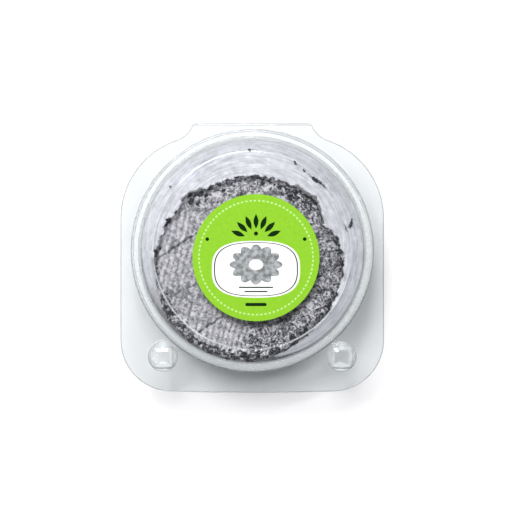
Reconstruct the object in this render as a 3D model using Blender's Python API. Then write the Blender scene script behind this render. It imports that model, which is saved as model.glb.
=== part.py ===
"""Ash-coated goat cheese in its clear hinged pack.

A round, low cheese lies in a tub of thin clear sheet. The lid is joined to the tub by a
living hinge along the back of the flange, and two press studs at the front corners hold it
shut. A round paper label is stuck on the lid.

Metres, +Z up. The origin is the centre of the tub's flat foot, +Y points to the hinge.
"""
import math

import bmesh
import bpy
from mathutils import Matrix, Vector
from mathutils.geometry import delaunay_2d_cdt
from mathutils.noise import noise

MM = 0.001

# Clear sheet: its thickness and the air between pieces that touch
SHEET = 0.5 * MM
GAP = 0.3 * MM

# Tub, lid and the seat where one nests in the other
TUB_DEPTH = 25.0 * MM
LID_RISE = 7.5 * MM
SEAT_FOOT_RADIUS = 52.6 * MM
SEAT_TOP_RADIUS = 52.1 * MM
SEAT_INNER_RADIUS = 49.1 * MM
SEAT_HEIGHT = 3.2 * MM
TUB_RIM_RADIUS = 48.9 * MM
TUB_FLOOR_RADIUS = 47.4 * MM
LID_TOP_RADIUS = 42.8 * MM
EDGE_RADIUS = 3.0 * MM
TURN_STEPS = 72
EDGE_STEPS = 3

# Flange: straight sides, wide arcs at the back, tighter corners at the front
FLANGE_HALF_WIDTH = 57.5 * MM
FLANGE_FRONT = 62.2 * MM
FRONT_BOW = 0.6 * MM
FRONT_CORNER = 22.5 * MM
BACK_CORNER = 36.0 * MM
BACK_CORNER_Y = 14.0 * MM
CORNER_STEPS = 9

# Living hinge: a short tab that stands back from the flange and folds on its end
HINGE_Y = 55.05 * MM
HINGE_HALF_LENGTH = 25.4 * MM
HINGE_FILLET = 11.2 * MM
FILLET_STEPS = 6

# Press studs at the front corners
STUD_X = 38.9 * MM
STUD_Y = -46.3 * MM
STUD_FOOT_RADIUS = 6.3 * MM
STUD_LEDGE_RADIUS = 5.0 * MM
STUD_LEDGE_HEIGHT = 0.9 * MM
STUD_NECK_RADIUS = 4.3 * MM
STUD_TOP_RADIUS = 3.5 * MM
STUD_HEIGHT = 3.1 * MM
STUD_STEPS = 20

# Cheese: a low round drained on a mat, lying towards the front of the tub
CHEESE_X = -1.6 * MM
CHEESE_Y = -7.5 * MM
CHEESE_RADIUS = 40.9 * MM
CHEESE_TOP = 26.0 * MM
CHEESE_SHOULDER = 4.0 * MM
CHEESE_TAPER = 1.1 * MM
CHEESE_BASE_EDGE = 4.2 * MM
CHEESE_STEPS = 120
WIDE_SWELL = 0.55 * MM
SMALL_SWELL = 0.3 * MM
OUTLINE_LUMPS = 0.9 * MM
SIDE_LUMPS = 0.5 * MM
TOP_MARGIN = 2.2 * MM
RIDGE_PITCH = 2.4 * MM
RIDGE_HEIGHT = 0.45 * MM
RIDGE_ANGLE = math.radians(76)
RIDGE_STEP = 4.2 * MM
PLAIN_STEP = 3.6 * MM
RIDGED = 0.25
CREASE_DEPTH = 0.9 * MM
CREASE_WIDTH = 1.3 * MM
CREASES = (
    ((-41.0, 3.2), (-22.5, 15.0)),
    ((-36.4, -14.2), (-23.4, -7.6)),
    ((-22.5, -28.6), (-11.6, -21.6)),
)
# Broad swells and one bay of the outline: direction, rise in millimetres, half width; degrees
OUTLINE_SWELLS = (
    (-120, 1.5, 42), (-47, -1.6, 15), (6, 1.1, 14), (31, -2.6, 8), (115, -0.9, 20), (166, 0.8, 16),
)

# Paper label on the lid
LABEL_RADIUS = 27.4 * MM
LABEL_THICKNESS = 0.2 * MM
LABEL_X = 1.65 * MM
LABEL_Y = -3.2 * MM

TUB_FLANGE_TOP = TUB_DEPTH
LID_FLANGE_BOTTOM = TUB_FLANGE_TOP + GAP
HINGE_Z = TUB_FLANGE_TOP + GAP / 2
LID_TOP = LID_FLANGE_BOTTOM + LID_RISE
CHEESE_BOTTOM = SHEET + GAP


def clear_scene():
    for item in list(bpy.data.objects):
        bpy.data.objects.remove(item, do_unlink=True)


def plain_material(name, colour, roughness, transmission=0.0):
    material = bpy.data.materials.new(name)
    material.use_nodes = True
    shader = material.node_tree.nodes["Principled BSDF"]
    shader.inputs["Base Color"].default_value = (*colour, 1.0)
    shader.inputs["Roughness"].default_value = roughness
    shader.inputs["Metallic"].default_value = 0.0
    shader.inputs["Transmission Weight"].default_value = transmission
    shader.inputs["IOR"].default_value = 1.57 if transmission else 1.45
    material.diffuse_color = (*colour, 1.0)
    return material


def finished_object(name, mesh_data, material, sharp_angle):
    """Turn a bmesh into a named object with smooth faces and crisp creases."""
    bmesh.ops.recalc_face_normals(mesh_data, faces=mesh_data.faces)
    mesh = bpy.data.meshes.new(name)
    mesh_data.to_mesh(mesh)
    mesh_data.free()
    mesh.shade_smooth()
    mesh.set_sharp_from_angle(angle=math.radians(sharp_angle))
    mesh.materials.append(material)
    piece = bpy.data.objects.new(name, mesh)
    bpy.context.collection.objects.link(piece)
    return piece


def arc(centre, radius, start, end, steps):
    """Points on an arc from one angle to another, in degrees, both ends included."""
    turns = [math.radians(start + (end - start) * step / steps) for step in range(steps + 1)]
    return [Vector((centre[0] + radius * math.cos(t), centre[1] + radius * math.sin(t))) for t in turns]


def rounded(profile, corner, radius, steps):
    """Replace one corner of a profile with an arc that is tangent to both its sides."""
    before, point, after = profile[corner - 1], profile[corner], profile[corner + 1]
    towards_before = (before - point).normalized()
    towards_after = (after - point).normalized()
    half_angle = towards_before.angle(towards_after) / 2
    centre = point + (towards_before + towards_after).normalized() * radius / math.sin(half_angle)
    first = point + towards_before * radius / math.tan(half_angle) - centre
    last = point + towards_after * radius / math.tan(half_angle) - centre
    sweep = first.angle_signed(last)
    curve = []
    for step in range(steps + 1):
        turned = Matrix.Rotation(-sweep * step / steps, 2) @ first
        curve.append(centre + turned)
    return profile[:corner] + curve + profile[corner + 1:]


def offset_profile(profile, distance):
    """Shift a profile that runs inwards by a wall distance, upwards where it is level."""
    normals = []
    for start, end in zip(profile, profile[1:]):
        along = (end - start).normalized()
        normals.append(Vector((along.y, -along.x)))
    shifted = [profile[0] + normals[0] * distance]
    for point, before, after in zip(profile[1:-1], normals, normals[1:]):
        middle = (before + after).normalized()
        shifted.append(point + middle * distance / middle.dot(before))
    shifted.append(profile[-1] + normals[-1] * distance)
    return shifted


def flange_outline():
    """Outer edge of the flange, anticlockwise from the middle of the front."""
    side = FLANGE_HALF_WIDTH
    corner_x = side - FRONT_CORNER
    corner_y = -FLANGE_FRONT + FRONT_BOW + FRONT_CORNER
    back_x = side - BACK_CORNER
    right = [Vector((corner_x / 2, -FLANGE_FRONT + FRONT_BOW / 4))]
    right += arc((corner_x, corner_y), FRONT_CORNER, -90, 0, CORNER_STEPS)
    fillet_x = HINGE_HALF_LENGTH + HINGE_FILLET
    fillet_rise = math.sqrt((BACK_CORNER + HINGE_FILLET) ** 2 - (fillet_x - back_x) ** 2)
    meeting = math.degrees(math.atan2(fillet_rise, fillet_x - back_x))
    right += arc((back_x, BACK_CORNER_Y), BACK_CORNER, 0, meeting, CORNER_STEPS)
    fillet_y = BACK_CORNER_Y + fillet_rise
    fold = math.degrees(math.asin((fillet_y - HINGE_Y + GAP / 2) / HINGE_FILLET))
    fillet = arc((fillet_x, fillet_y), HINGE_FILLET, meeting + 180, 180 + fold, FILLET_STEPS)
    right += fillet[1:]
    left = [Vector((-point.x, point.y)) for point in reversed(right)]
    return [Vector((0.0, -FLANGE_FRONT))] + right + left


def seat_profile():
    """Underside of the lid's flange and seat, inwards, with heights above that flange."""
    return [
        Vector((SEAT_FOOT_RADIUS + EDGE_RADIUS, 0.0)),
        Vector((SEAT_FOOT_RADIUS, 0.0)),
        Vector((SEAT_TOP_RADIUS, SEAT_HEIGHT)),
    ]


def lid_profile():
    """Inner face of the lid: seat, sloping wall, rounded edge and flat top."""
    inner_rise = LID_RISE - SHEET
    profile = seat_profile() + [
        Vector((SEAT_INNER_RADIUS, SEAT_HEIGHT)),
        Vector((LID_TOP_RADIUS, inner_rise)),
        Vector((0.0, inner_rise)),
    ]
    return rounded(profile, 4, EDGE_RADIUS, EDGE_STEPS)


def tub_profile():
    """Line that the tub's inner face follows one gap below: rim, wall, edge and floor."""
    floor = SHEET + GAP - LID_FLANGE_BOTTOM
    profile = seat_profile() + [
        Vector((TUB_RIM_RADIUS, SEAT_HEIGHT)),
        Vector((TUB_FLOOR_RADIUS, floor)),
        Vector((0.0, floor)),
    ]
    return rounded(profile, 4, EDGE_RADIUS, EDGE_STEPS)


def stud_profile():
    """Underside of the lid's press stud, inwards, with heights above the flange."""
    return [
        Vector((STUD_FOOT_RADIUS + SHEET, 0.0)),
        Vector((STUD_FOOT_RADIUS, 0.0)),
        Vector((STUD_FOOT_RADIUS - 0.3 * MM, STUD_LEDGE_HEIGHT)),
        Vector((STUD_LEDGE_RADIUS, STUD_LEDGE_HEIGHT)),
        Vector((STUD_NECK_RADIUS, STUD_HEIGHT - SHEET)),
        Vector((STUD_TOP_RADIUS, STUD_HEIGHT)),
        Vector((0.0, STUD_HEIGHT)),
    ]


def closed_edges(bm, ring):
    """Edges of a closed ring of vertices, made where they are missing."""
    edges = []
    for start, end in zip(ring, ring[1:] + ring[:1]):
        edge = bm.edges.get((start, end))
        edges.append(edge or bm.edges.new((start, end)))
    return edges


def join_rings(bm, first, second):
    count = len(first)
    for step in range(count):
        following = (step + 1) % count
        bm.faces.new((first[step], first[following], second[following], second[step]))


def turned_form(bm, centre, profile, base_z, steps):
    """Turn a profile about a vertical axis, close it in the middle, return its outer ring."""
    rings = []
    for radius, height in profile[1:-1]:
        ring = []
        for step in range(steps):
            angle = math.tau * step / steps
            ring.append(bm.verts.new((
                centre[0] + radius * math.cos(angle),
                centre[1] + radius * math.sin(angle),
                base_z + height,
            )))
        rings.append(ring)
    for outer, inner in zip(rings, rings[1:]):
        join_rings(bm, outer, inner)
    middle = bm.verts.new((centre[0], centre[1], base_z + profile[-1].y))
    last = rings[-1]
    for start, end in zip(last, last[1:] + last[:1]):
        bm.faces.new((start, end, middle))
    return rings[0]


def sheet_face(bm, form, shift):
    """One face of a formed sheet: the flange with its round form and two studs."""
    outline = [
        bm.verts.new((point.x, point.y, LID_FLANGE_BOTTOM + shift)) for point in flange_outline()
    ]
    rings = [turned_form(bm, (0.0, 0.0), offset_profile(form, shift), LID_FLANGE_BOTTOM, TURN_STEPS)]
    for side in (-1, 1):
        stud = offset_profile(stud_profile(), shift)
        rings.append(turned_form(bm, (side * STUD_X, STUD_Y), stud, LID_FLANGE_BOTTOM, STUD_STEPS))
    edges = closed_edges(bm, outline)
    for ring in rings:
        edges += closed_edges(bm, ring)
    bmesh.ops.triangle_fill(bm, use_beauty=True, use_dissolve=False, edges=edges)
    return outline


def formed_sheet(name, form, lower_shift, material):
    """A thermoformed piece: two faces one sheet thickness apart, joined along the edge."""
    bm = bmesh.new()
    lower = sheet_face(bm, form, lower_shift)
    upper = sheet_face(bm, form, lower_shift + SHEET)
    join_rings(bm, lower, upper)
    return finished_object(name, bm, material, 35)


def smooth_step(low, high, value):
    share = min(max((value - low) / (high - low), 0.0), 1.0)
    return share * share * (3 - 2 * share)


def edge_radius(angle):
    """Uneven outline of the cheese: broad swells, a bay at the back right and small lumps."""
    around = Vector((math.cos(angle), math.sin(angle), 0.0))
    radius = CHEESE_RADIUS + OUTLINE_LUMPS * noise(around * 7.0)
    for middle, rise, half_width in OUTLINE_SWELLS:
        turn = (math.degrees(angle) - middle + 180) % 360 - 180
        radius += rise * MM * math.exp(-(turn / half_width) ** 2)
    return radius


def ridge_share(x, y):
    """How strongly the mat's ridges show: fully at the front left, hardly at the back right."""
    towards_back_right = (x * 0.75 + y * 0.66) / CHEESE_RADIUS
    return 1.0 - smooth_step(-0.25, 0.15, towards_back_right)


def crease_distance(x, y):
    """Distance from a point on the top to the nearest of the short slanting creases."""
    nearest = CHEESE_RADIUS
    for start, end in CREASES:
        first = Vector(start) * MM
        along = Vector(end) * MM - first
        share = min(max((Vector((x, y)) - first).dot(along) / along.length_squared, 0.0), 1.0)
        nearest = min(nearest, (Vector((x, y)) - first - along * share).length)
    return nearest


def swell(x, y):
    """Slow rise and fall of the cheese's top face."""
    place = Vector((x, y, 0.0)) / MM
    return WIDE_SWELL * noise(place * 0.045) + SMALL_SWELL * noise(place * 0.16)


def top_height(x, y):
    """Height of the cheese's top face, measured from its own middle."""
    across = x * math.sin(RIDGE_ANGLE) - y * math.cos(RIDGE_ANGLE)
    wave = 0.5 + 0.5 * math.cos(math.tau * across / RIDGE_PITCH)
    ridge = RIDGE_HEIGHT * ridge_share(x, y) * wave
    crease = CREASE_DEPTH * (1.0 - smooth_step(0.0, CREASE_WIDTH, crease_distance(x, y)))
    return CHEESE_TOP + swell(x, y) + ridge - crease


def inside_rim(point, reach):
    """Whether a point lies within a radius that follows the outline's swells."""
    return point.length < reach + edge_radius(math.atan2(point.y, point.x)) - CHEESE_RADIUS


def open_top(point, reach):
    """Whether a point lies on the open top, inside the rim and away from the creases."""
    return inside_rim(point, reach) and crease_distance(*point) > 1.6 * CREASE_WIDTH


def ridge_lines(reach):
    """Crests and valleys of the mat's ridges as runs of points inside a given radius."""
    along = Vector((math.cos(RIDGE_ANGLE), math.sin(RIDGE_ANGLE)))
    across = Vector((math.sin(RIDGE_ANGLE), -math.cos(RIDGE_ANGLE)))
    half_pitch = RIDGE_PITCH / 2
    runs = []
    for line in range(-int(reach / half_pitch), int(reach / half_pitch) + 1):
        run = []
        steps = int(reach / RIDGE_STEP)
        for step in range(-steps, steps + 1):
            point = across * line * half_pitch + along * step * RIDGE_STEP
            if open_top(point, reach) and ridge_share(*point) > RIDGED:
                run.append(point)
        if len(run) > 1:
            runs.append(run)
    return runs


def crease_lines(reach):
    """Bottom and both lips of each crease as runs of points inside a given radius."""
    runs = []
    for start, end in CREASES:
        first, last = Vector(start) * MM, Vector(end) * MM
        across = (last - first).orthogonal().normalized() * CREASE_WIDTH
        for side in (-1, 0, 1):
            run = [first.lerp(last, step / 8) + across * side for step in range(9)]
            run = [point for point in run if inside_rim(point, reach)]
            if len(run) > 1:
                runs.append(run)
    return runs


def loose_points(reach):
    """Evenly spread points where the top has no ridges."""
    rows = int(reach / PLAIN_STEP)
    points = []
    for row in range(-rows, rows + 1):
        for column in range(-rows, rows + 1):
            shift = 0.5 * (row % 2)
            point = Vector((column + shift, row * math.sqrt(0.75))) * PLAIN_STEP
            if open_top(point, reach) and ridge_share(*point) <= RIDGED:
                points.append(point)
    return points


def cheese_side():
    """Inset from the outline and height of each ring, from the top's edge to the base."""
    rise = CHEESE_TOP - CHEESE_BOTTOM
    rings = []
    for degrees in (75, 45, 15):
        turn = math.radians(degrees)
        inset = CHEESE_TAPER + CHEESE_SHOULDER * (1 - math.cos(turn))
        rings.append((inset, CHEESE_TOP - CHEESE_SHOULDER * (1 - math.sin(turn))))
    rings.append((CHEESE_TAPER * 0.3, CHEESE_BOTTOM + 0.62 * rise))
    rings.append((0.0, CHEESE_BOTTOM + 0.36 * rise))
    for degrees in (0, 45):
        turn = math.radians(degrees)
        inset = CHEESE_TAPER * 0.3 + CHEESE_BASE_EDGE * (1 - math.cos(turn))
        rings.append((inset, CHEESE_BOTTOM + CHEESE_BASE_EDGE * (1 - math.sin(turn))))
    rings.append((CHEESE_TAPER * 0.3 + CHEESE_BASE_EDGE, CHEESE_BOTTOM))
    return rings


def room_radius(height):
    """How far from the pack's middle the cheese may reach before it leans on a wall."""
    rise = height - LID_FLANGE_BOTTOM
    floor = SHEET + GAP - LID_FLANGE_BOTTOM
    if rise < SEAT_HEIGHT:
        share = (rise - floor) / (SEAT_HEIGHT - floor)
        low = max(CHEESE_BOTTOM + EDGE_RADIUS - height, 0.0)
        edge = EDGE_RADIUS - math.sqrt(EDGE_RADIUS ** 2 - low ** 2)
        return TUB_FLOOR_RADIUS + share * (TUB_RIM_RADIUS - TUB_FLOOR_RADIUS) - edge - GAP
    share = (rise - SEAT_HEIGHT) / (LID_RISE - SHEET - SEAT_HEIGHT)
    return SEAT_INNER_RADIUS + share * (LID_TOP_RADIUS - SEAT_INNER_RADIUS) - 2 * GAP


def side_point(angle, inset, height):
    """A point on the lumpy side, pressed flat where it would meet the pack's wall."""
    around = Vector((math.cos(angle), math.sin(angle), height / MM * 0.045))
    lump = 0.0 if height == CHEESE_BOTTOM else SIDE_LUMPS * noise(around * 7.0)
    radius = edge_radius(angle) - inset + lump
    middle = Vector((CHEESE_X, CHEESE_Y))
    point = Vector((math.cos(angle), math.sin(angle))) * radius + middle
    room = room_radius(height)
    if point.length > room:
        point = point.normalized() * room
    point -= middle
    share = smooth_step(CHEESE_TOP - 2 * CHEESE_SHOULDER, CHEESE_TOP, height)
    return (*point, height + share * swell(*point))


def cheese(material):
    """A closed round with a ridged, creased top, lumpy sides and a flat base."""
    bm = bmesh.new()
    angles = [math.tau * step / CHEESE_STEPS for step in range(CHEESE_STEPS)]
    rim = []
    for angle in angles:
        radius = edge_radius(angle) - CHEESE_TAPER - CHEESE_SHOULDER
        rim.append(Vector((radius * math.cos(angle), radius * math.sin(angle))))
    reach = CHEESE_RADIUS - CHEESE_TAPER - CHEESE_SHOULDER - TOP_MARGIN

    points = list(rim)
    edges = [(step, (step + 1) % CHEESE_STEPS) for step in range(CHEESE_STEPS)]
    for run in ridge_lines(reach) + crease_lines(reach):
        first = len(points)
        points += run
        edges += [(first + step, first + step + 1) for step in range(len(run) - 1)]
    points += loose_points(reach)
    # 1 restricts the triangles to the inside of the rim
    flat, _, triangles, sources, _, _ = delaunay_2d_cdt(points, edges, [], 1, 1e-6)
    tops = [bm.verts.new((p.x, p.y, top_height(p.x, p.y))) for p in flat]
    for triangle in triangles:
        bm.faces.new([tops[corner] for corner in triangle])
    above = [None] * CHEESE_STEPS
    for corner, origins in enumerate(sources):
        for origin in origins:
            if origin < CHEESE_STEPS:
                above[origin] = tops[corner]

    for inset, height in cheese_side():
        ring = [bm.verts.new(side_point(angle, inset, height)) for angle in angles]
        join_rings(bm, above, ring)
        above = ring
    bm.faces.new(above)
    bmesh.ops.triangulate(bm, faces=bm.faces)
    piece = finished_object("cheese", bm, material, 60)
    piece.location = (CHEESE_X, CHEESE_Y, 0.0)
    return piece


def label(material):
    """A thin paper disc that lies just above the lid's flat top."""
    bm = bmesh.new()
    rings = []
    bottom = LID_TOP + GAP
    for height in (bottom, bottom + LABEL_THICKNESS):
        ring = []
        for step in range(TURN_STEPS):
            angle = math.tau * step / TURN_STEPS
            x = LABEL_X + LABEL_RADIUS * math.cos(angle)
            y = LABEL_Y + LABEL_RADIUS * math.sin(angle)
            ring.append(bm.verts.new((x, y, height)))
        rings.append(ring)
        bm.faces.new(ring)
    join_rings(bm, rings[0], rings[1])
    return finished_object("label", bm, material, 35)


def hang_on_hinge(pieces):
    """Give the pieces that open a common parent on the fold line of the living hinge."""
    hinge = bpy.data.objects.new("lid_hinge_line", None)
    hinge.empty_display_size = 10 * MM
    hinge.location = (0.0, HINGE_Y, HINGE_Z)
    bpy.context.collection.objects.link(hinge)
    for piece in pieces:
        piece.data.transform(Matrix.Translation(-hinge.location))
        piece.parent = hinge


def build():
    clear_scene()
    clear_sheet = plain_material("clear_sheet", (0.93, 0.96, 0.98), 0.06, transmission=1.0)
    ash_rind = plain_material("ash_rind", (0.30, 0.30, 0.31), 0.75)
    green_paper = plain_material("green_paper", (0.42, 0.68, 0.05), 0.4)
    formed_sheet("tub", tub_profile(), -GAP - SHEET, clear_sheet)
    lid = formed_sheet("lid", lid_profile(), 0.0, clear_sheet)
    cheese(ash_rind)
    hang_on_hinge([lid, label(green_paper)])


build()
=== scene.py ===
"""Looks of the ash-coated goat cheese in its clear hinged pack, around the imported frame."""
import math
import random
from functools import partialmethod

import bmesh
import bpy
from mathutils import Matrix, Vector
from mathutils.geometry import delaunay_2d_cdt
from mathutils.noise import noise


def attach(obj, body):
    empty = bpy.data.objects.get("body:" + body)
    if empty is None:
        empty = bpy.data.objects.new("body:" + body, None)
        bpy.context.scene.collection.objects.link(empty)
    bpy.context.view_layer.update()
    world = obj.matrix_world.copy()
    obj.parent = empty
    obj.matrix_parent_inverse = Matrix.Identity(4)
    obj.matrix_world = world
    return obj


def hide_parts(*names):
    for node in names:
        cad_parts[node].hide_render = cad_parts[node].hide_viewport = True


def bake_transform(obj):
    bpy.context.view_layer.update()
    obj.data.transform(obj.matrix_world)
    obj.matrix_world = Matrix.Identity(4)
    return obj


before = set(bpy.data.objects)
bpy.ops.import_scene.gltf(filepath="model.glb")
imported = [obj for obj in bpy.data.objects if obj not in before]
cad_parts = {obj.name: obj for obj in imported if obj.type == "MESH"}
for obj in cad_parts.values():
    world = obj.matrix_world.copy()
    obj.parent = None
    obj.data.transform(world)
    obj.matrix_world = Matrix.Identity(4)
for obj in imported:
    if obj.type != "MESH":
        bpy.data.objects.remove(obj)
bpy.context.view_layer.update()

# Camera
# The pack is seen squarely from above its lid, with the hinge at the top of the picture.
# The eye is far enough away that the walls hardly spread.
MM = 0.001
FLANGE_PLANE = 25.15 * MM
EYE_DISTANCE = 600 * MM
PICTURE_WIDTH = 222.8 * MM
EYE_X = 1.22 * MM
EYE_Y = -2.05 * MM
SENSOR = 36.0


def in_scene(name, content):
    """A new object in the scene."""
    piece = bpy.data.objects.new(name, content)
    bpy.context.scene.collection.objects.link(piece)
    return piece


eye = bpy.data.cameras.new("eye")
eye.sensor_width = SENSOR
eye.lens = SENSOR * EYE_DISTANCE / PICTURE_WIDTH
eye.clip_start = 10 * MM
eye_object = in_scene("eye", eye)
eye_object.location = (EYE_X, EYE_Y, FLANGE_PLANE + EYE_DISTANCE)
bpy.context.scene.camera = eye_object

# Tub
# One piece of clear sheet, drawn by vacuum into a mould and die-cut round its flange. A raised
# seat round the mouth and two press studs at the front corners take the lid's.
SHEET = 0.5 * MM
GAP = 0.3 * MM
SEAT_FOOT_RADIUS = 52.6 * MM
SEAT_TOP_RADIUS = 52.1 * MM
SEAT_HEIGHT = 3.2 * MM
FLAT_MARGIN = 0.9 * MM
TUB_RIM_RADIUS = 48.9 * MM
TUB_FLOOR_RADIUS = 47.4 * MM
LID_FLANGE_BOTTOM = 25.3 * MM
EDGE_RADIUS = 3.0 * MM
TURN_STEPS = 200
FLANGE_HALF_WIDTH = 57.5 * MM
FLANGE_FRONT = 62.2 * MM
FRONT_BOW = 0.6 * MM
FRONT_CORNER = 22.5 * MM
BACK_CORNER = 36.0 * MM
BACK_CORNER_Y = 14.0 * MM
HINGE_Y = 55.05 * MM
HINGE_HALF_LENGTH = 25.4 * MM
HINGE_FILLET = 11.2 * MM
OUTLINE_STEPS = 24
STUD_X = 38.9 * MM
STUD_Y = -46.3 * MM
STUD_STEPS = 64
STUD_PROFILE = [Vector(corner) * MM for corner in (
    (6.9, 0.0), (6.3, 0.0), (6.0, 0.9), (5.0, 0.9), (4.3, 2.3), (2.2, 3.1), (0.0, 3.1),
)]
SEAT_PROFILE = [Vector(corner) for corner in (
    (SEAT_FOOT_RADIUS + FLAT_MARGIN, 0.0), (SEAT_FOOT_RADIUS, 0.0), (SEAT_TOP_RADIUS, SEAT_HEIGHT),
)]
STUD_BENDS = [bend * MM for bend in (0.7, 0.3, 0.7, 0.3, 0.5)]
STUD_ROUND_HEIGHT = 1.0 * MM
STUD_SQUARE_HEIGHT = 2.3 * MM
STUD_SQUARENESS = 6.0
FLAT_STRIP = 0.35 * MM
BEND_STEP = math.radians(14)


def arc(centre, radius, start, end, steps):
    """Points on an arc from one angle to another, in degrees, both ends included."""
    turns = [math.radians(start + (end - start) * step / steps) for step in range(steps + 1)]
    return [Vector((centre[0] + radius * math.cos(t), centre[1] + radius * math.sin(t))) for t in turns]


def softened(profile, bends):
    """Replace each inner corner of a profile with an arc that is tangent to both its sides."""
    soft = [profile[0]]
    for before, point, after, bend in zip(profile, profile[1:], profile[2:], bends):
        back, ahead = (before - point).normalized(), (after - point).normalized()
        half_angle = back.angle(ahead) / 2
        centre = point + (back + ahead).normalized() * bend / math.sin(half_angle)
        first = point + back * bend / math.tan(half_angle) - centre
        last = point + ahead * bend / math.tan(half_angle) - centre
        sweep = first.angle_signed(last)
        steps = max(2, round(abs(sweep) / BEND_STEP))
        soft += [centre + Matrix.Rotation(-sweep * step / steps, 2) @ first for step in range(steps + 1)]
    return soft + [profile[-1]]


def offset_profile(profile, distance):
    """Shift a profile that runs inwards by a wall distance, upwards where it is level."""
    normals = [-(end - start).normalized().orthogonal() for start, end in zip(profile, profile[1:])]
    shifted = [profile[0] + normals[0] * distance]
    for point, before, after in zip(profile[1:-1], normals, normals[1:]):
        middle = (before + after).normalized()
        shifted.append(point + middle * distance / middle.dot(before))
    return shifted + [profile[-1] + normals[-1] * distance]


def flange_ring(bm, inset, height):
    """Points inside the flange's outer edge, anticlockwise from the middle of the front."""
    corner = (FLANGE_HALF_WIDTH - FRONT_CORNER, -FLANGE_FRONT + FRONT_BOW + FRONT_CORNER)
    back_x = FLANGE_HALF_WIDTH - BACK_CORNER
    fillet_x = HINGE_HALF_LENGTH + HINGE_FILLET
    rise = math.sqrt((BACK_CORNER + HINGE_FILLET) ** 2 - (fillet_x - back_x) ** 2)
    meeting = math.degrees(math.atan2(rise, fillet_x - back_x))
    fillet_y = BACK_CORNER_Y + rise
    fold = math.degrees(math.asin((fillet_y - HINGE_Y + GAP / 2) / HINGE_FILLET))
    right = [Vector((corner[0] / 2, -FLANGE_FRONT + FRONT_BOW / 4))]
    right += arc(corner, FRONT_CORNER, -90, 0, OUTLINE_STEPS)
    right += arc((back_x, BACK_CORNER_Y), BACK_CORNER, 0, meeting, OUTLINE_STEPS)
    right += arc((fillet_x, fillet_y), HINGE_FILLET, meeting + 180, 180 + fold, OUTLINE_STEPS)[1:]
    left = [Vector((-point.x, point.y)) for point in reversed(right)]
    edge = [Vector((0.0, -FLANGE_FRONT))] + right + left
    moved = []
    for before, point, after in zip(edge[-1:] + edge[:-1], edge, edge[1:] + edge[:1]):
        side, next_side = (line.normalized().orthogonal() for line in (point - before, after - point))
        inward = (side + next_side).normalized()
        moved.append(bm.verts.new((*(point + inward * inset / max(inward.dot(side), 0.5)), height)))
    return moved


def smooth_step(low, high, value):
    share = min(max((value - low) / (high - low), 0.0), 1.0)
    return share * share * (3 - 2 * share)


def turned_ring(bm, middle, radius, height, steps, squareness=0.0):
    """Points all round an upright axis, on a circle or on a stud's squared outline."""
    ring = []
    for turn in [math.tau * step / steps for step in range(steps)]:
        corner = abs(math.cos(turn)) ** STUD_SQUARENESS + abs(math.sin(turn)) ** STUD_SQUARENESS
        reach = radius * (1 + squareness * (corner ** (-1 / STUD_SQUARENESS) - 1))
        ring.append(bm.verts.new((middle[0] + reach * math.cos(turn), middle[1] + reach * math.sin(turn), height)))
    return ring


def join_rings(bm, rings):
    """Faces between each closed ring of points and the next."""
    for first, second in zip(rings, rings[1:]):
        for step, start in enumerate(first):
            following = (step + 1) % len(first)
            bm.faces.new((start, first[following], second[following], second[step]))


def turned_form(bm, middle, profile, steps, squared=False):
    """Turn a profile about an upright axis, close it on the axis, return its outer ring."""
    rings = []
    for radius, height in profile[:-1]:
        squareness = squared * smooth_step(STUD_ROUND_HEIGHT, STUD_SQUARE_HEIGHT, height - profile[0].y)
        rings.append(turned_ring(bm, middle, radius, LID_FLANGE_BOTTOM + height, steps, squareness))
    join_rings(bm, rings)
    tip = bm.verts.new((*middle, LID_FLANGE_BOTTOM + profile[-1].y))
    for pair in zip(rings[-1], rings[-1][1:] + rings[-1][:1]):
        bm.faces.new((*pair, tip))
    return rings[0]


def fill_between(bm, outline, holes):
    """Flat triangles inside the outline and outside the round holes."""
    corners, edges, hole_of = [], [], []
    for number, loop in enumerate([outline, *holes]):
        first = len(corners)
        corners += loop
        hole_of += [number] * len(loop)
        edges += [(first + step, first + (step + 1) % len(loop)) for step in range(len(loop))]
    # 1 keeps only what lies inside the outer loop
    result = delaunay_2d_cdt([corner.co.xy for corner in corners], edges, [], 1, 1e-7)
    for triangle in result[2]:
        places = [result[3][place][0] for place in triangle]
        around = {hole_of[place] for place in places}
        if len(around) > 1 or around == {0}:
            bm.faces.new([corners[place] for place in places])


def sheet_face(bm, form, stud):
    """One face of a formed sheet: the flange, the round form and the two studs."""
    height = LID_FLANGE_BOTTOM + form[0].y
    outline = flange_ring(bm, SHEET / 2 + FLAT_STRIP, height)
    holes = [turned_form(bm, (0.0, 0.0), form, TURN_STEPS)]
    for side in (-1, 1):
        holes.append(turned_form(bm, (side * STUD_X, STUD_Y), stud, STUD_STEPS, squared=True))
    fill_between(bm, outline, holes)
    return outline


def cut_edge(bm, under, over):
    """Round edge of a die-cut sheet, from its lower face to its upper one."""
    middle = (under[0].co.z + over[0].co.z) / 2
    rings = [under]
    for turn in [math.radians(degrees) for degrees in range(-90, 91, 30)]:
        rings.append(flange_ring(bm, SHEET / 2 * (1 - math.cos(turn)), middle + SHEET / 2 * math.sin(turn)))
    join_rings(bm, rings + [over])


def finished(name, form, material, sharp_angle=180.0):
    """Give a form, as a mesh or still open, its smooth faces and material and put it in the scene."""
    mesh = form
    if isinstance(form, bmesh.types.BMesh):
        bmesh.ops.recalc_face_normals(form, faces=form.faces)
        mesh = bpy.data.meshes.new(name)
        form.to_mesh(mesh)
        form.free()
    mesh.shade_smooth()
    mesh.set_sharp_from_angle(angle=math.radians(sharp_angle))
    mesh.materials.clear()
    mesh.materials.append(material)
    return in_scene(name, mesh)


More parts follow.
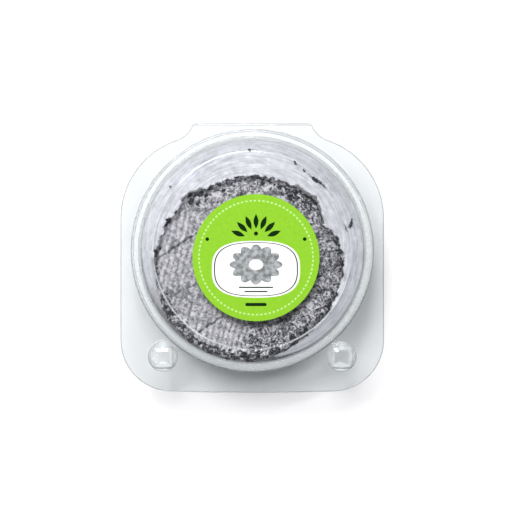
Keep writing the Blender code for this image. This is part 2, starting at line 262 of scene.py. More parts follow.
def formed_sheet(name, inner_corners, bends, shift):
    """A formed piece of clear sheet: two faces a sheet's thickness apart, and its cut edge.

    The corners run from the seat inwards, on the lid's underside; shift moves them to this piece."""
    corners = SEAT_PROFILE + [Vector(corner) for corner in inner_corners]
    lower = softened(offset_profile(corners, shift), bends)
    lower_stud = softened(offset_profile(STUD_PROFILE, shift), STUD_BENDS)
    bm = bmesh.new()
    under = sheet_face(bm, lower, lower_stud)
    over = sheet_face(bm, offset_profile(lower, SHEET), offset_profile(lower_stud, SHEET))
    cut_edge(bm, under, over)
    return finished(name, bm, clear_sheet, 35.0)


def feed(node, inputs):
    """Join a node's inputs to outputs, or set them to plain values; a colour is three numbers."""
    for name, value in inputs.items():
        socket = node.inputs[name]
        if isinstance(value, Output):
            value.tree.links.new(value.socket, socket)
        else:
            socket.default_value = (*value, 1.0) if socket.type == "RGBA" else value


def add(tree, kind, inputs=None, out=0, **settings):
    """Add a node with its settings and inputs, and return one of its outputs."""
    node = tree.nodes.new(kind)
    for name, value in settings.items():
        setattr(node, name, value)
    feed(node, inputs or {})
    return Output(node.outputs[out])


def math_node(tree, operation, *values, clamp=False):
    return add(tree, "ShaderNodeMath", dict(enumerate(values)), operation=operation, use_clamp=clamp)


class Output:
    """A node's output. Sums, products and powers of it become math nodes in its tree."""

    def __init__(self, socket):
        self.socket = socket
        self.tree = socket.id_data

    def math(self, operation, *others, clamp=False):
        return math_node(self.tree, operation, self, *others, clamp=clamp)

    def math_after(self, operation, other):
        return math_node(self.tree, operation, other, self)

    __add__ = __radd__ = partialmethod(math, "ADD")
    __mul__ = __rmul__ = partialmethod(math, "MULTIPLY")
    __sub__, __rsub__ = partialmethod(math, "SUBTRACT"), partialmethod(math_after, "SUBTRACT")
    __truediv__, __rtruediv__ = partialmethod(math, "DIVIDE"), partialmethod(math_after, "DIVIDE")
    __pow__, __abs__ = partialmethod(math, "POWER"), partialmethod(math, "ABSOLUTE")


def ramp(value, low, high, bottom=0.0, top=1.0):
    """A soft step from bottom to top while value goes from low to high."""
    return add(value.tree, "ShaderNodeMapRange", {
        "Value": value, "From Min": low, "From Max": high, "To Min": bottom, "To Max": top,
    }, interpolation_type="SMOOTHSTEP")


def noise_of(place, scale, detail=2.0, distortion=0.0, roughness=0.5):
    return add(place.tree, "ShaderNodeTexNoise", {
        "Vector": place, "Scale": scale, "Detail": detail, "Distortion": distortion, "Roughness": roughness,
    })


def object_place(tree):
    return add(tree, "ShaderNodeTexCoord", out="Object")


def new_material(name):
    """A material and its tree, with its Principled shader in place."""
    material = bpy.data.materials.new(name)
    material.use_nodes = True
    return material, material.node_tree, material.node_tree.nodes["Principled BSDF"]


def bump_of(height, distance):
    return add(height.tree, "ShaderNodeBump", {"Height": height, "Distance": distance, "Strength": 1.0}, out="Normal")


# clear sheet is glass to the eye, while light falls through it with a thin grey shade
clear_sheet, clear, clear_shader = new_material("clear_sheet")
feed(clear_shader, {
    "Base Color": (0.955, 0.972, 0.975), "Roughness": 0.03, "IOR": 1.5, "Transmission Weight": 1.0,
    "Normal": bump_of(noise_of(object_place(clear), 90.0, 1.0), 0.12 * MM),
})
facing = add(clear, "ShaderNodeLayerWeight", {"Blend": 0.5}, out="Facing")
clear_shade = add(clear, "ShaderNodeBsdfTransparent", {"Color": ramp(facing, 0.15, 0.95, 0.955, 0.74)})
light_path = clear.nodes.new("ShaderNodeLightPath")
clear_look = Output(clear_shader.outputs[0])
for rays in ("Is Shadow Ray", "Is Diffuse Ray"):
    clear_look = add(clear, "ShaderNodeMixShader", {
        0: Output(light_path.outputs[rays]), 1: clear_look, 2: clear_shade,
    })
feed(clear.nodes["Material Output"], {"Surface": clear_look})

tub_floor = SHEET + GAP - LID_FLANGE_BOTTOM
tub = formed_sheet(
    "tub_sheet", ((TUB_RIM_RADIUS, SEAT_HEIGHT), (TUB_FLOOR_RADIUS, tub_floor), (0.0, tub_floor)),
    (1.2 * MM, 0.3 * MM, 0.4 * MM, EDGE_RADIUS + SHEET), -GAP - SHEET,
)
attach(tub, "base")
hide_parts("tub")

# Cheese
# A low round of soft goat curd, drained on a ribbed mat, rolled in black wood ash and ripened
# until a thin grey bloom grew over the ash. It lies loose in the tub, towards the front.
CHEESE_X = -1.6 * MM
CHEESE_Y = -7.5 * MM
CHEESE_RADIUS = 40.9 * MM
CHEESE_TOP = 26.0 * MM
CHEESE_BOTTOM = SHEET + 0.02 * MM
CHEESE_SHOULDER = 4.0 * MM
CHEESE_TAPER = 1.1 * MM
CHEESE_BASE_EDGE = 4.2 * MM
BASE_INSET = 0.3
WIDE_SWELL = 0.55 * MM
SMALL_SWELL = 0.3 * MM
OUTLINE_LUMPS = 0.9 * MM
SIDE_LUMPS = 0.5 * MM
LUMPS_AROUND = 7.0
CREASE_DEPTH = 0.8 * MM
CREASE_WIDTH = 0.8 * MM
CREASE_WANDER = 0.7 * MM
# start and end of each crease, in millimetres from the cheese's middle, and its strength
CREASES = (
    ((-41.0, 3.2), (-22.5, 15.0), 1.0),
    ((-36.4, -14.2), (-23.4, -7.6), 0.5),
    ((-22.5, -28.6), (-11.6, -21.6), 1.0),
)
# direction in degrees, rise in millimetres, half width in degrees
OUTLINE_SWELLS = (
    (-120, 1.5, 42), (-47, -1.6, 15), (6, 1.1, 14), (31, -2.6, 8), (115, -0.9, 20), (118, -0.6, 8),
    (131, 1.5, 9), (166, 0.8, 16),
)
# direction in degrees and how much of the black ash still shows there, 0 to 1; at the right and
# the back it is set a little lower, partly as painted light against the shade that falls there
ASH_SHOWS_AND_LIGHT = (
    (-180, 0.0), (-165, 0.14), (-140, 0.20), (-122, 0.06), (-104, 0.05), (-84, 0.92), (-60, 1.0), (-30, 0.95),
    (0, 0.80), (60, 0.80), (80, 0.72), (106, 0.60), (132, 0.25), (150, 0.04), (180, 0.0),
)
# direction in degrees and how far in from the edge the lumpy rim reaches, in millimetres
RIM_REACH = (
    (-180, 1.0), (-168, 1.4), (-156, 5.2), (-80, 5.8), (-58, 5.0), (-30, 4.6), (-14, 2.0), (19, 1.8), (25, 1.2),
    (39, 1.4), (44, 6.6), (62, 6.4), (75, 2.6), (98, 1.6), (112, 1.0), (142, 0.6), (180, 0.6),
)
LID_RISE = 7.5 * MM
LID_TOP_RADIUS = 42.8 * MM
SEAT_INNER_RADIUS = 49.1 * MM
ROUND_STEPS = 600
TOP_RINGS = 96
SHOULDER_STEPS = 15
SIDE_STEPS = 34
BASE_STEPS = 10
RIDGE_TURN = math.radians(76)
lid_inner_rise = LID_RISE - SHEET


def along(table, turn):
    """Smooth value between the (direction, amount) pairs of a table, directions in degrees."""
    for (start, low), (end, high) in zip(table, table[1:]):
        if turn <= end:
            return low + (high - low) * smooth_step(start, end, turn)
    return table[-1][1]


def turn_of(angle, middle=0.0):
    """An angle in degrees from a middle direction, between -180 and 180."""
    return (math.degrees(angle) - middle + 180) % 360 - 180


def shoulder_share(angle):
    """How wide the shoulder is in a direction; it is narrower in front, where the cheese leans."""
    turn = turn_of(angle)
    return 1 - 0.5 * smooth_step(-176, -150, turn) * smooth_step(-40, -75, turn)


def edge_radius(angle):
    """Uneven outline of the cheese: broad swells, a bay at the back right and small lumps."""
    around = Vector((math.cos(angle), math.sin(angle), 0.0))
    radius = CHEESE_RADIUS + OUTLINE_LUMPS * noise(around * LUMPS_AROUND)
    for middle, rise, half_width in OUTLINE_SWELLS:
        radius += rise * MM * math.exp(-(turn_of(angle, middle) / half_width) ** 2)
    return radius


def crease_at(x, y):
    """How deep a point of the top lies in one of the short slanting creases, 0 to 1."""
    place = Vector((x, y, 0.0)) / MM * 0.35
    point = Vector((x, y)) + Vector((noise(place), noise(place + Vector((9.0, 0.0, 0.0))))) * CREASE_WANDER
    deepest = 0.0
    for start, end, strength in CREASES:
        first = Vector(start) * MM
        line = Vector(end) * MM - first
        share = min(max((point - first).dot(line) / line.length_squared, 0.0), 1.0)
        near = (point - first - line * share).length
        taper = 0.5 + 2.0 * share * (1 - share)
        deepest = max(deepest, strength * (1 - smooth_step(0.1 * CREASE_WIDTH, taper * CREASE_WIDTH, near)))
    return deepest


def swell(x, y):
    """Slow rise and fall of the cheese's top face."""
    place = Vector((x, y, 0.0)) / MM
    return WIDE_SWELL * noise(place * 0.045) + SMALL_SWELL * noise(place * 0.16)


def room_radius(height):
    """How far from the pack's middle the cheese may reach before it leans on a wall."""
    rise = height - LID_FLANGE_BOTTOM
    if rise < SEAT_HEIGHT:
        share = (rise - tub_floor) / (SEAT_HEIGHT - tub_floor)
        low = min(max(CHEESE_BOTTOM + EDGE_RADIUS - height, 0.0), EDGE_RADIUS)
        edge = EDGE_RADIUS - math.sqrt(EDGE_RADIUS ** 2 - low ** 2)
        return TUB_FLOOR_RADIUS + share * (TUB_RIM_RADIUS - TUB_FLOOR_RADIUS) - edge - GAP
    share = (rise - SEAT_HEIGHT) / (lid_inner_rise - SEAT_HEIGHT)
    return SEAT_INNER_RADIUS + share * (LID_TOP_RADIUS - SEAT_INNER_RADIUS) - 2 * GAP


def side_line():
    """Inset from the outline and height of each ring, from the top's edge to the base."""
    line = []
    for step in range(1, SHOULDER_STEPS):
        turn = math.tau / 4 * (1 - step / SHOULDER_STEPS)
        inset = CHEESE_TAPER + CHEESE_SHOULDER * (1 - math.cos(turn))
        line.append((inset, CHEESE_TOP - CHEESE_SHOULDER * (1 - math.sin(turn))))
    top, base = line[-1][1], CHEESE_BOTTOM + CHEESE_BASE_EDGE
    for step in range(1, SIDE_STEPS + 1):
        height = top + (base - top) * step / SIDE_STEPS
        low = (height - CHEESE_BOTTOM) / (CHEESE_TOP - CHEESE_BOTTOM)
        line.append((CHEESE_TAPER * (smooth_step(0.36, 0.9, low) + BASE_INSET * smooth_step(0.36, 0.1, low)), height))
    for step in range(1, BASE_STEPS + 1):
        turn = math.tau / 4 * step / BASE_STEPS
        inset = CHEESE_TAPER * BASE_INSET + CHEESE_BASE_EDGE * (1 - math.cos(turn))
        line.append((inset, CHEESE_BOTTOM + CHEESE_BASE_EDGE * (1 - math.sin(turn))))
    return line


def side_point(angle, inset, height):
    """A point on the lumpy side and its distance from the wall it must not pass."""
    around = Vector((math.cos(angle), math.sin(angle), height / MM * 0.045))
    foot = smooth_step(CHEESE_BOTTOM, CHEESE_BOTTOM + 1.5 * MM, height)
    inset *= 1 + (shoulder_share(angle) - 1) * smooth_step(CHEESE_BOTTOM, CHEESE_TOP - CHEESE_SHOULDER, height)
    radius = edge_radius(angle) - inset + foot * SIDE_LUMPS * noise(around * LUMPS_AROUND)
    middle = Vector((CHEESE_X, CHEESE_Y))
    point = Vector((math.cos(angle), math.sin(angle))) * radius + middle
    room = room_radius(height) - point.length
    if room < 0.0:
        point *= 1 + room / point.length
    share = smooth_step(CHEESE_TOP - 2 * CHEESE_SHOULDER, CHEESE_TOP, height)
    return (*point, height + share * swell(*(point - middle))), max(room, 0.0)


def rind_state(angle, depth):
    """How much ash shows at a point, lowered a little at the right and the back as painted light,
    and whether it is on the lumpy rim; depth is from the edge.
    """
    turn = turn_of(angle)
    reach = along(RIM_REACH, turn) * MM
    return along(ASH_SHOWS_AND_LIGHT, turn), 1 - smooth_step(0.75 * reach, 1.15 * reach, depth)


def round_mesh():
    """The cheese without its fine relief, and what each point of its rind is like."""
    points, faces, marks, rings = [], [], [], []
    for ring in range(TOP_RINGS):
        share = 1 - ring / TOP_RINGS
        steps = ROUND_STEPS // (1 if share > 0.5 else 2 if share > 0.25 else 4)
        rings.append(range(len(points), len(points) + steps))
        for step in range(steps):
            angle = math.tau * step / steps
            radius = edge_radius(angle) - (CHEESE_TAPER + CHEESE_SHOULDER) * shoulder_share(angle)
            radius *= share
            x, y = radius * math.cos(angle), radius * math.sin(angle)
            crease = crease_at(x, y)
            points.append((CHEESE_X + x, CHEESE_Y + y, CHEESE_TOP + swell(x, y) - CREASE_DEPTH * crease))
            marks.append((1.0, 1.0, 1.0, crease, *rind_state(angle, edge_radius(angle) - radius)))
    for outer, inner in zip(rings, rings[1:]):
        for step, start in enumerate(inner):
            after = (step + 1) % len(inner)
            if len(outer) == len(inner):
                faces.append((outer[step], outer[after], inner[after], start))
            else:
                half = outer[2 * step + 1]
                faces += [(outer[2 * step], half, start), (half, inner[after], start),
                          (half, outer[2 * after], inner[after])]
    points.append((CHEESE_X, CHEESE_Y, CHEESE_TOP + swell(0.0, 0.0)))
    marks.append((1.0, 1.0, 1.0, 0.0, 0.5, 0.0))
    last = list(rings[-1])
    faces += [(start, end, len(points) - 1) for start, end in zip(last, last[1:] + last[:1])]

    above = rings[0]
    for inset, height in side_line():
        ring = range(len(points), len(points) + ROUND_STEPS)
        foot = smooth_step(CHEESE_BOTTOM, 3 * MM, height)
        low = smooth_step(CHEESE_TOP - 0.7 * CHEESE_SHOULDER, CHEESE_TOP - 1.3 * CHEESE_SHOULDER, height)
        top = smooth_step(CHEESE_TOP - CHEESE_SHOULDER, CHEESE_TOP, height)
        for step in range(ROUND_STEPS):
            angle = math.tau * step / ROUND_STEPS
            point, free = side_point(angle, inset, height)
            points.append(point)
            crease = crease_at(point[0] - CHEESE_X, point[1] - CHEESE_Y) * (1 - low)
            ash, rim = rind_state(angle, inset)
            room = smooth_step(0.0, 1.2 * MM, free)
            marks.append((top, room, foot, crease, ash, max(rim, low * (0.15 + 0.6 * ash))))
            faces.append((above[step - 1], ring[step - 1], ring[step], above[step]))
        above = ring
    points.append((CHEESE_X, CHEESE_Y, CHEESE_BOTTOM))
    marks.append((0.0, 0.0, 0.0, 0.0, 0.5, 1.0))
    faces += [(above[step - 1], len(points) - 1, above[step]) for step in range(ROUND_STEPS)]

    mesh = bpy.data.meshes.new("cheese_round")
    mesh.from_pydata(points, [], faces)
    for name, values in zip(("top", "room", "foot", "crease", "ash", "rim"), zip(*marks)):
        mesh.attributes.new(name, "FLOAT", "POINT").data.foreach_set("value", values)
    return mesh


def attribute(tree, name):
    """A number that the mesh carries at each point, in a material or a geometry tree."""
    if tree.type == "GEOMETRY":
        return add(tree, "GeometryNodeInputNamedAttribute", {"Name": name}, "Attribute", data_type="FLOAT")
    return add(tree, "ShaderNodeAttribute", out="Fac", attribute_name=name)


def geometry_tree(name, settings):
    """A geometry tree with an input for a mesh and for each setting, and a way to reach them."""
    tree = bpy.data.node_groups.new(name, "GeometryNodeTree")
    tree.interface.new_socket("Geometry", in_out="INPUT", socket_type="NodeSocketGeometry")
    tree.interface.new_socket("Geometry", in_out="OUTPUT", socket_type="NodeSocketGeometry")
    for setting, value in settings.items():
        kind = {int: "Int", float: "Float"}.get(type(value), "Material")
        tree.interface.new_socket(setting, in_out="INPUT", socket_type="NodeSocket" + kind)
    entry = tree.nodes.new("NodeGroupInput")
    return tree, lambda setting: Output(entry.outputs[setting])


def scaled(vector, factor):
    return add(vector.tree, "ShaderNodeVectorMath", {0: vector, "Scale": factor}, operation="SCALE")


def pushed_out(given, geometry, push):
    """End a geometry tree: real points, pushed out along their normals, in their material."""
    tree = geometry.tree
    real = add(tree, "GeometryNodeRealizeInstances", {0: geometry})
    offset = scaled(add(tree, "GeometryNodeInputNormal"), push)
    moved = add(tree, "GeometryNodeSetPosition", {"Geometry": real, "Offset": offset})
    coated = add(tree, "GeometryNodeSetMaterial", {"Geometry": moved, "Material": given("Material")})
    feed(tree.nodes.new("NodeGroupOutput"), {0: coated})


def grown(mesh, tree, settings, name):
    """Run a geometry tree on a mesh and return the result as a plain mesh."""
    carrier = in_scene(name + "_carrier", mesh)
    modifier = carrier.modifiers.new(tree.name, "NODES")
    modifier.node_group = tree
    for item in tree.interface.items_tree:
        if item.in_out == "INPUT" and item.name in settings:
            modifier[item.identifier] = settings[item.name]
    graph = bpy.context.evaluated_depsgraph_get()
    result = bpy.data.meshes.new_from_object(carrier.evaluated_get(graph))
    result.name = name
    bpy.data.objects.remove(carrier)
    return result


def millimetres_from(place, middle):
    """A place counted in millimetres from a point."""
    return add(place.tree, "ShaderNodeVectorMath", {
        0: place, 1: (1 / MM,) * 3, 2: [-value / MM for value in middle],
    }, operation="MULTIPLY_ADD")


def axes_of(place):
    node = place.tree.nodes.new("ShaderNodeSeparateXYZ")
    feed(node, {0: place})
    return [Output(socket) for socket in node.outputs]


def mat_rows(x, y, given):
    """Crests that the draining mat left: rows, broken into knots towards the left."""
    sine, cosine = math.sin(RIDGE_TURN), math.cos(RIDGE_TURN)
    flat = add(x.tree, "ShaderNodeCombineXYZ", {0: x, 1: y})
    drift = add(x.tree, "ShaderNodeTexNoise", {"Vector": flat, "Scale": 0.1}, noise_dimensions="2D")
    row = (x * sine - y * cosine + (drift * 2.4 - 1.2)) / given("Row Pitch")
    crest = ((row * math.tau).math("COSINE") * 0.5 + 0.5) ** 0.7
    stagger = add(x.tree, "ShaderNodeTexWhiteNoise", {"W": row.math("ROUND")}, noise_dimensions="1D")
    knot = ((x * cosine + y * sine) / given("Knot Pitch") + stagger) * math.tau
    knotted = (0.5 - knot.math("COSINE") * 0.5) * ramp(x, -8.0, -26.0, 0.1, 0.5)
    return crest * (1.0 - knotted)


rind_settings = {
    "Row Pitch": 2.4, "Row Height": 0.36, "Knot Pitch": 2.9, "Worm Size": 2.1, "Worm Height": 0.5,
    "Lump Size": 1.9, "Lump Height": 0.9, "Grain Height": 0.34, "Seed": 4.0,
}
rind_tree, rind_given = geometry_tree("rind_relief", {**rind_settings, "Material": None})
rind_place = millimetres_from(add(rind_tree, "GeometryNodeInputPosition"), (CHEESE_X, CHEESE_Y, 0.0))
rind_x, rind_y, _ = axes_of(rind_place)
ash_shows, on_rim, on_top = (attribute(rind_tree, name) for name in ("ash", "rim", "top"))
flat_top = on_top * (1.0 - on_rim)
rows_show, worms_show = flat_top * (1.0 - ash_shows), flat_top * ash_shows
rows = mat_rows(rind_x, rind_y, rind_given) * ramp(noise_of(rind_place, 0.28), 0.36, 0.62, 0.3, 1.0)
worms = noise_of(rind_place, 1.0 / rind_given("Worm Size"), 1.5, 0.8)
worms = ramp(abs(worms * 2.0 - 1.0), 0.02, 0.26)
lumps = add(rind_tree, "ShaderNodeTexVoronoi", {
    "Vector": rind_place, "W": rind_given("Seed"), "Scale": 1.0 / rind_given("Lump Size"),
}, "Distance", voronoi_dimensions="4D", feature="SMOOTH_F1")
lump = ramp(lumps, 0.75, 0.15)
grain = noise_of(rind_place, 1.15, 3.0) * 2.0 - 1.0
relief = (
    rows * rows_show * rind_given("Row Height") + worms * worms_show * rind_given("Worm Height")
    + lump * on_rim * rind_given("Lump Height") + grain * rind_given("Grain Height")
)
# against a wall the lumps are cut in instead of standing out
relief -= (1.0 - attribute(rind_tree, "room")) * rind_given("Lump Height") * 1.25
relief *= attribute(rind_tree, "foot")
# the relief's height is kept for the rind's colour, which paints shade into its low parts
kept_height = add(rind_tree, "GeometryNodeStoreNamedAttribute", {
    "Geometry": rind_given("Geometry"), "Name": "height",
    "Value": rows * rows_show + worms * worms_show + lump * on_rim + grain * 0.25,
}, data_type="FLOAT", domain="POINT")
pushed_out(rind_given, kept_height, relief * MM)


def colour_ramp(value, stops):
    """Colours along a value, as (place, colour) pairs in rising order."""
    node = value.tree.nodes.new("ShaderNodeValToRGB")
    elements = node.color_ramp.elements
    while len(elements) < len(stops):
        elements.new(1.0)
    for element, (place, colour) in zip(elements, stops):
        element.position = place
        element.color = (*colour, 1.0)
    feed(node, {0: value})
    return Output(node.outputs[0])


# fine grains of ash and curd: a mask for the colour and a height for the bump
ash_grain = bpy.data.node_groups.new("ash_grain", "ShaderNodeTree")
for name, side in (("Size", "INPUT"), ("Mask", "OUTPUT"), ("Height", "OUTPUT")):
    ash_grain.interface.new_socket(name, in_out=side, socket_type="NodeSocketFloat")
grain_scale = 1.0 / Output(ash_grain.nodes.new("NodeGroupInput").outputs["Size"])
grain_place = object_place(ash_grain)
grain_height = noise_of(grain_place, grain_scale * 3.1) * 0.5 + noise_of(grain_place, grain_scale, 3.0) * 0.5
feed(ash_grain.nodes.new("NodeGroupOutput"), {"Mask": ramp(grain_height, 0.38, 0.62), "Height": grain_height})


def grain_of(tree, size):
    node = tree.nodes.new("ShaderNodeGroup")
    node.node_tree = ash_grain
    feed(node, {"Size": size})
    return [Output(socket) for socket in node.outputs]


def moved_place(tree, shift):
    """The object's place, moved so that two textures of one kind don't agree."""
    return add(tree, "ShaderNodeVectorMath", {0: object_place(tree), 1: (shift,) * 3}, operation="ADD")


def curls(tree, size, width, shift):
    """Thin curling lines: 1 along the lines where a noise crosses its middle."""
    level = noise_of(moved_place(tree, shift), 1 / size, 1.0, 1.4)
    return ramp(abs(level * 2.0 - 1.0), 0.3 * width, width, 1.0, 0.0)


rind, rind_nodes, rind_shader = new_material("ash_rind")
fine_mask, fine_grain = grain_of(rind_nodes, 0.8 * MM)
pits = curls(rind_nodes, 3.3 * MM, 0.30, 0.1)
specks = curls(rind_nodes, 2.8 * MM, 0.22, 0.4)
blots = ramp(noise_of(moved_place(rind_nodes, 0.7), 420.0, 1.0, 0.8), 0.44, 0.60)
patches = ramp(noise_of(object_place(rind_nodes), 190.0), 0.36, 0.64)
rind_ash, rind_rim, rind_height, rind_crease = (
    attribute(rind_nodes, name) for name in ("ash", "rim", "height", "crease"))
# how pale the rind is: where the bloom covers it, where the ash shows, on the rim, in a crease
# paler on the relief's crests, darker in its low parts and creases: partly ash lying low, partly painted shade of the
# relief
bloom = (
    (1.0 - rind_ash.math("MAXIMUM", rind_rim))
    * (0.59 + rind_height * 0.52 + fine_mask * 0.22 + patches * 0.08 - pits * 0.15 - blots * 0.14)
    + rind_ash * (1.0 - rind_rim)
    * (0.41 + rind_height * 0.20 + fine_mask * 0.18 + patches * 0.25 - pits * 0.44 + specks * 0.36 - blots * 0.22)
    + rind_rim * (0.42 + fine_mask * 0.16 + patches * 0.14 - pits * 0.34 + specks * 0.44 - blots * 0.52)
    - rind_crease * 0.45
)
feed(rind_shader, {
    "Base Color": colour_ramp(bloom, (
        (0.0, (0.008, 0.008, 0.010)),
        (0.22, (0.040, 0.040, 0.047)),
        (0.5, (0.192, 0.191, 0.213)),
        (0.75, (0.447, 0.435, 0.466)),
        (1.0, (0.71, 0.692, 0.716)),
    )),
    "Roughness": ramp(bloom, 0.0, 1.0, 0.62, 0.88),
    "Specular IOR Level": 0.2,
    "Normal": bump_of(fine_grain - pits * 0.5 + specks * 0.35, 0.3 * MM),
})
rind_mesh = grown(round_mesh(), rind_tree, {**rind_settings, "Material": rind}, "cheese_rind")
cheese = finished("cheese_rind", rind_mesh, rind)
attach(cheese, "base")
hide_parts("cheese")

# Ash clumps
# Lumps of ash and torn rind that stand on the cheese's rim, where it was turned and salted by
# hand. They are rolled from the same ash, and hold by themselves.
CLUMP_COUNT = 260
# direction in degrees, distance in from the outline and size, in millimetres, of the large clumps
LARGE_CLUMPS = (
    (129.4, 0.9, 1.6), (131, 3.7, 1.5), (126.8, 2.1, 1.1), (128, 5.4, 1.3), (123, 2.4, 1.7), (120.8, 4.1, 1.1),
    (116, 1.4, 1.5), (123, 6.2, 0.7), (108, 5.0, 1.2), (109, 2.2, 0.8), (104, 1.0, 1.0), (98, 0.9, 0.9),
    (151.4, 0.5, 1.7), (149.4, 1.4, 1.3), (142.6, 1.4, 0.8), (171.5, 0.5, 1.8), (167.7, 1.8, 1.0),
    (-176.7, 0.6, 1.1), (-171.5, 0.8, 1.2), (-164.7, 1.0, 1.1), (44, 0.2, 1.3), (46, 0.4, 1.2), (49, 0.2, 1.2),
    (52, 0.6, 1.2), (56, 0.8, 1.1), (60, 0.8, 1.2), (64, 1.4, 1.0), (48, 3.0, 1.0), (55, 3.4, 1.1), (62, 3.6, 0.9),
    (75, 1.0, 1.0), (79, 0.6, 1.2), (83, 0.6, 1.1), (86, 1.6, 0.9), (92, 2.2, 0.8), (14, 1.2, 1.1), (3, 1.4, 0.9),
    (-9, 1.2, 1.1), (-17, 2.6, 0.9), (-30, 1.6, 1.1), (-38, 1.0, 1.0), (-52, 1.8, 1.2), (-58, 0.8, 1.2),
    (-64, 1.4, 1.1), (-70, 2.6, 1.1), (-78, 1.8, 1.0), (-90, 1.2, 1.1), (-103, 1.8, 1.2), (-115, 2.4, 1.1),
    (-128, 2.0, 1.2), (-140, 2.6, 1.0), (-150, 2.2, 1.0),
)
bits_settings = {"Squash": 0.75, "Roughness": 0.55, "Ruffle Size": 0.9, "Seed": 7}


def bits_tree(name):
    """A rough grain on every point of the carrier, its size read from the carrier."""
    tree, given = geometry_tree(name, {**bits_settings, "Material": None})
    ball = add(tree, "GeometryNodeMeshIcoSphere", {"Subdivisions": 2, "Radius": 1.0}, "Mesh")
    narrow = add(tree, "ShaderNodeCombineXYZ", dict.fromkeys(range(3), given("Squash")))
    turn, stretch = (
        add(tree, "FunctionNodeRandomValue", {**limits, "Seed": given("Seed")}, "Value", data_type="FLOAT_VECTOR")
        for limits in ({"Max": (math.tau,) * 3}, {"Min": narrow, "Max": (1.0,) * 3})
    )
    bits = add(tree, "GeometryNodeInstanceOnPoints", {
        "Points": given("Geometry"), "Instance": ball, "Rotation": turn,
        "Scale": scaled(stretch, attribute(tree, "size")),
    })
    place = scaled(add(tree, "GeometryNodeInputPosition"), 1 / MM / given("Ruffle Size"))
    ruffle = (noise_of(place, 1.0) - 0.5) * given("Roughness")
    pushed_out(given, bits, ruffle * (attribute(tree, "size") * 2.0))
    return tree


def bits_on(points, material, name):
    """Rough grains of the given radii at the given places, as one mesh."""
    places = bpy.data.meshes.new(name + "_points")
    places.from_pydata([place for place, _ in points], [], [])
    places.attributes.new("size", "FLOAT", "POINT").data.foreach_set("value", [size for _, size in points])
    mesh = grown(places, bits_tree(name + "_bits"), {**bits_settings, "Material": material}, name)
    return finished(name, mesh, material, 60.0)


black_ash, ash_nodes, ash_shader = new_material("black_ash")
speck_mask, speck_grain = grain_of(ash_nodes, 0.9 * MM)
feed(ash_shader, {
    "Base Color": colour_ramp(speck_mask, ((0.35, (0.010, 0.010, 0.012)), (1.0, (0.075, 0.077, 0.088)))),
    "Roughness": 0.7, "Specular IOR Level": 0.2, "Normal": bump_of(speck_grain, 0.25 * MM),
})
draw = random.Random(11)


def rind_point(angle, inset):
    """A point on the cheese's top or shoulder, a given distance in from its outline."""
    share = shoulder_share(angle)
    lean = 1 - max(inset - CHEESE_TAPER * share, 0.0) / (CHEESE_SHOULDER * share)
    if lean > 0.0:
        height = CHEESE_TOP - CHEESE_SHOULDER * (1 - math.sqrt(1 - min(lean, 0.99) ** 2))
        return side_point(angle, inset / share, height)[0]
    radius = edge_radius(angle) - inset
    x, y = radius * math.cos(angle), radius * math.sin(angle)
    return CHEESE_X + x, CHEESE_Y + y, CHEESE_TOP + swell(x, y)


clump_points = []
# a large clump is three grains in a short slanting row
for turn, inset, size in LARGE_CLUMPS:
    for place in (-0.4, 0.0, 0.4):
        angle = math.radians(turn - 1.2 * place * size)
        out = rind_point(angle, (inset - 0.4 * place * size) * MM)
        clump_points.append((out, size * draw.uniform(0.68, 0.84) * MM))
for _ in range(CLUMP_COUNT):
    turn = draw.uniform(-180, 180)
    inset = (0.8 + along(RIM_REACH, turn) * draw.random()) * MM
    size = (0.3 + 0.55 * draw.random() ** 2) * (0.5 + 0.5 * along(ASH_SHOWS_AND_LIGHT, turn) + 0.4 * (turn < -70))
    clump_points.append((rind_point(math.radians(turn), inset), size * MM))
clumps = bits_on(clump_points, black_ash, "ash_clumps")
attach(clumps, "base")

# Lid
# Clear sheet again, formed with a low dome that clears the cheese. Its seat and studs fit over
# the tub's from above and hold by their edges.
LID_BENDS = (0.75 * MM, 0.4 * MM, 0.9 * MM, 1.2 * MM)
LID_CORNERS = ((SEAT_INNER_RADIUS, SEAT_HEIGHT), (LID_TOP_RADIUS, lid_inner_rise), (0.0, lid_inner_rise))
lid = formed_sheet("lid_sheet", LID_CORNERS, LID_BENDS, 0.0)
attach(lid, "cover")
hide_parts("lid")

# Scuffs and painted sheen
# Where the sheet was drawn sharply round the seat and the studs it whitened, and it is rubbed
# dull there from handling. The haze is a skin on the lid's outer face. How white it is round the
# pack is partly painted light: it is brighter where the seat, the top's edge and the studs show
# pale reflections and highlights.
HAZE_LIFT = 0.02 * MM
HAZE_THICKNESS = 0.03 * MM
HAZE_STUD_REACH = 6.7 * MM
HAZE_STUD_TOP = 2.4 * MM
HAZE_EDGE = 0.5 * MM
HAZE_SEAT = 0.9 * MM
HAZE_FADE_ROWS = 4
# direction in degrees and how white the haze on the top's edge, the seat and the studs is there:
# partly rubbed whitening, partly painted highlight and reflection
EDGE_HAZE_AND_HIGHLIGHT = (
    (-180, 0.6), (-150, 1.2), (-118, 1.5), (-104, 0.5), (-76, 0.6), (-62, 1.5), (-28, 1.5), (-5, 0.5), (60, 0.3),
    (120, 0.2), (180, 0.6),
)
SEAT_HAZE_AND_REFLECTION = ((-180, 1.2), (-130, 1.0), (-60, 1.0), (0, 1.25), (60, 1.0), (120, 1.0), (180, 1.2))
STUD_HAZE_AND_REFLECTION = (
    (-180, 0.8), (-140, 0.8), (-125, 2.4), (-55, 2.4), (-40, 0.8), (60, 0.8), (90, 1.4), (120, 0.8), (180, 0.8),
)


def finely(profile, step):
    """The same profile with points no further apart than a step."""
    dense = [profile[0]]
    for start, end in zip(profile, profile[1:]):
        parts = max(1, math.ceil((end - start).length / step))
        dense += [start.lerp(end, part / parts) for part in range(1, parts + 1)]
    return dense


